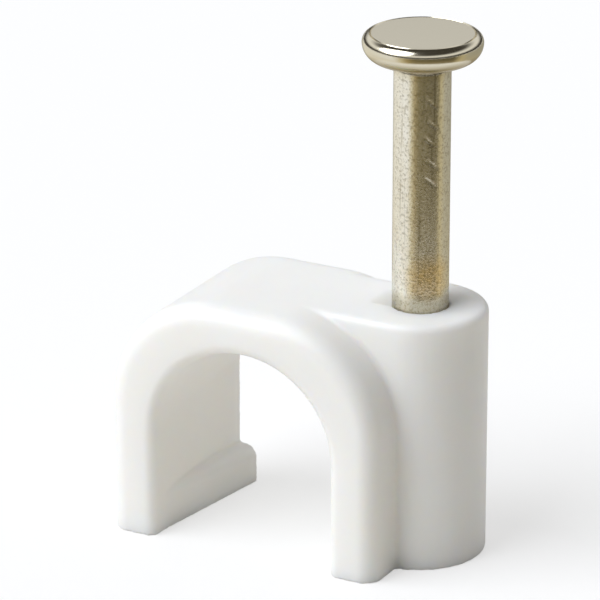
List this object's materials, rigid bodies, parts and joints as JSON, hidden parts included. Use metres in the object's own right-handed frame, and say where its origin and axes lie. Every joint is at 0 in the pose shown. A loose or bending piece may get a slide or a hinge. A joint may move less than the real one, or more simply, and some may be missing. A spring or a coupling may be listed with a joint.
{
  "type": "cable clip",
  "caption": "White moulded arch clip that holds a round cable to a wall, with a side boss that carries a headed steel nail, part driven and ready to hammer in.",
  "frame": {"origin": "on the face that meets the wall, under the middle of the part's box", "axes": "+Z away from the wall along the nail, +Y along the cable from the rounded front edge to the back, +X from the free leg to the nail boss"},
  "size_m": [0.0128, 0.0066, 0.0191],
  "materials": {
    "clip_plastic": "satin moulded",
    "nail_steel": "plated, mottled"
  },
  "bodies": {
    "root": {"clip_body": "clip_plastic", "nail": "nail_steel"}
  },
  "joints": []
}
